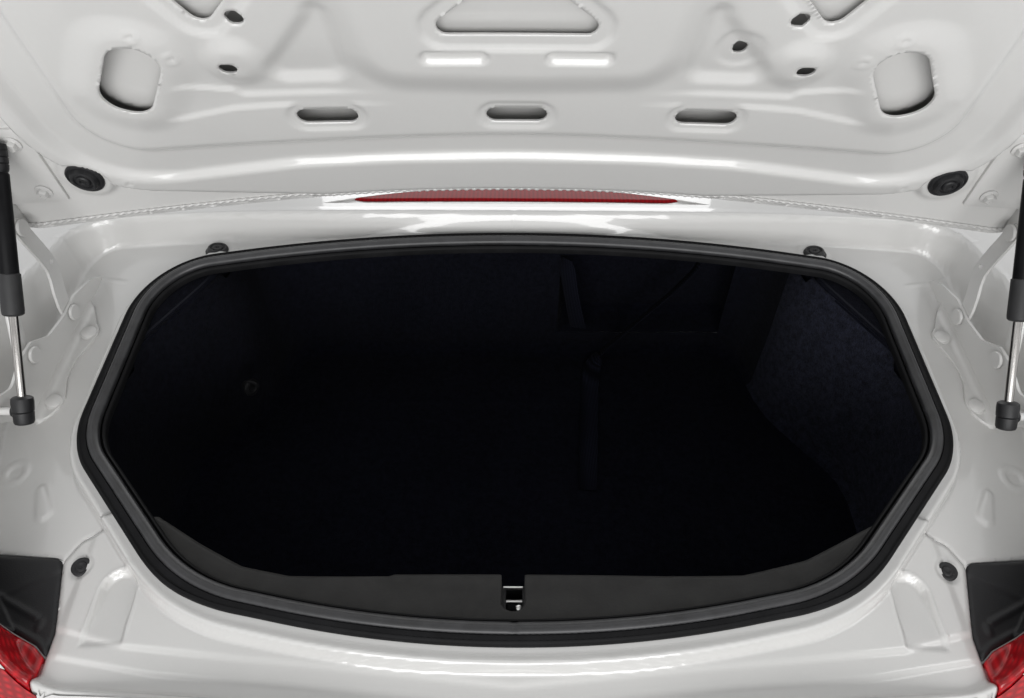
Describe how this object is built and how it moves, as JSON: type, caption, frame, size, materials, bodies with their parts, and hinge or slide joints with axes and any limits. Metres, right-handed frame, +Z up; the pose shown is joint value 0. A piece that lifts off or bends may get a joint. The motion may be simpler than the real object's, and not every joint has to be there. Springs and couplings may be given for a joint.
{
  "type": "roadster boot section",
  "caption": "Rear body section of an open two-seat car, with a carpeted luggage well and a lid held open on two four-bar hinges and two gas struts.",
  "frame": {"origin": "centre of the cross member's front face, where the section joins the cabin, on the car's middle plane", "axes": "+X to the car's right, +Y to its front, +Z up"},
  "size_m": [1.466, 0.7509, 1.1225],
  "materials": {
    "body_paint": "gloss white paint",
    "primer": "dark electrocoat",
    "lens_red": "clear red moulded lens",
    "black_plastic": "grained black",
    "seal_rubber": "matt",
    "carpet": "needled navy felt",
    "steel": "bright",
    "strut_black": "satin black"
  },
  "bodies": {
    "root": {"boot_latch": "steel", "boot_seal": "seal_rubber", "boot_tub": "primer", "bumper_cover": "body_paint", "carpet_floor": "carpet", "carpet_front": "carpet", "carpet_left": "carpet", "carpet_rear": "carpet", "carpet_right": "carpet", "cross_member": "primer", "deck_buffer_left": "seal_rubber", "deck_buffer_right": "seal_rubber", "deck_panel": "body_paint", "frame_rail_left": "primer", "frame_rail_right": "primer", "front_bulkhead": "primer", "gutter_front": "body_paint", "gutter_left": "body_paint", "gutter_right": "body_paint", "hinge_base_left": "body_paint", "hinge_base_right": "body_paint", "lamp_filler_left": "black_plastic", "lamp_filler_right": "black_plastic", "lamp_housing_left": "black_plastic", "lamp_housing_right": "black_plastic", "luggage_strap_long": "carpet", "luggage_strap_short": "carpet", "quarter_panel_left": "body_paint", "quarter_panel_right": "body_paint", "rear_panel": "primer", "sill_trim": "black_plastic", "stop_lamp": "lens_red", "tail_lens_left": "lens_red", "tail_lens_right": "lens_red"},
    "front_links": {"front_link_left": "body_paint", "front_link_right": "body_paint"},
    "lid": {"lid_bracket_left": "body_paint", "lid_bracket_right": "body_paint", "lid_inner": "body_paint", "lid_outer": "body_paint", "lid_stop_left": "seal_rubber", "lid_stop_right": "seal_rubber", "lid_striker": "steel"},
    "rear_links": {"rear_link_left": "body_paint", "rear_link_right": "body_paint"},
    "strut_tubes": {"strut_tube_left": "strut_black", "strut_tube_right": "strut_black"},
    "strut_rods": {"strut_rod_left": "steel", "strut_rod_right": "steel"}
  },
  "joints": [
    {"name": "hinge_swing", "type": "hinge", "parent": "root", "child": "front_links", "pos_m": [0, -0.24888, 0.427], "axis": [-1, 0, 0], "range_deg": [0, 85.83]},
    {"name": "lid_turn", "type": "hinge", "parent": "front_links", "child": "lid", "pos_m": [0, -0.24709, 0.54246], "axis": [1, 0, 0], "range_deg": [0, 161.94]},
    {"name": "rear_link_swing", "type": "hinge", "parent": "root", "child": "rear_links", "pos_m": [0, -0.32958, 0.442], "axis": [-1, 0, 0], "range_deg": [0, 63.47]},
    {"name": "strut_swing", "type": "hinge", "parent": "lid", "child": "strut_tubes", "pos_m": [0, -0.25652, 0.63387], "axis": [-1, 0, 0], "range_deg": [0, 127]},
    {"name": "strut_stroke", "type": "slide", "parent": "strut_tubes", "child": "strut_rods", "axis": [0, 0.5998, 0.8001], "range_m": [0, 0.06522]}
  ],
  "couplings": [
    {"joint": "lid_turn", "follows": "hinge_swing", "ratio": 1.8866},
    {"joint": "rear_link_swing", "follows": "hinge_swing", "ratio": 0.73932},
    {"joint": "strut_swing", "follows": "hinge_swing", "ratio": 1.4795},
    {"joint": "strut_stroke", "follows": "hinge_swing", "m_per_rad": 0.043523}
  ]
}
